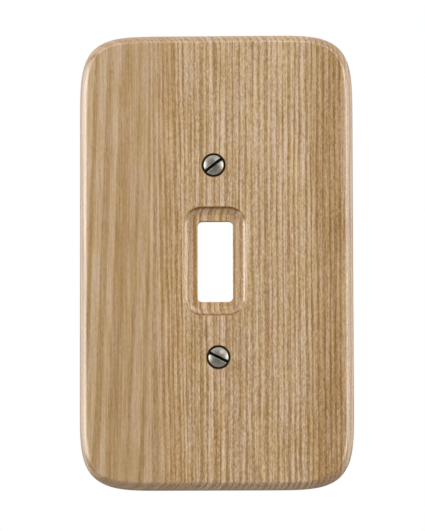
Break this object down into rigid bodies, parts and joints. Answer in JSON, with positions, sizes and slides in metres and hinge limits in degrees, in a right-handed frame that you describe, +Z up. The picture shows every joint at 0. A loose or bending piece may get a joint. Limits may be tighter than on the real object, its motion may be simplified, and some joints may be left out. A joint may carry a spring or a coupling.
{
  "type": "toggle switch wall plate",
  "caption": "Upright solid wood wall plate with a coved recess around a toggle opening and slotted oval-head screws in countersunk holes.",
  "frame": {"origin": "centre of the plate's back plane, which lies against the wall", "axes": "+X to the right seen from the front, +Y into the wall, +Z up along the plate's length"},
  "size_m": [0.0858, 0.0201, 0.1428],
  "materials": {
    "wood": "satin clear-coated light ash, grain upright",
    "antique_nickel": "antique nickel plate, satin, rubbed bright on the edges"
  },
  "bodies": {
    "plate": {"wall_plate": "wood"},
    "upper_screw": {"upper_screw": "antique_nickel"},
    "lower_screw": {"lower_screw": "antique_nickel"}
  },
  "joints": [
    {"name": "upper_screw_turn", "type": "hinge", "parent": "plate", "child": "upper_screw", "pos_m": [-0.0007, 0, 0.03016], "axis": [0, 1, 0], "continuous": true},
    {"name": "lower_screw_turn", "type": "hinge", "parent": "plate", "child": "lower_screw", "pos_m": [0.0007, 0, -0.03016], "axis": [0, 1, 0], "continuous": true}
  ]
}
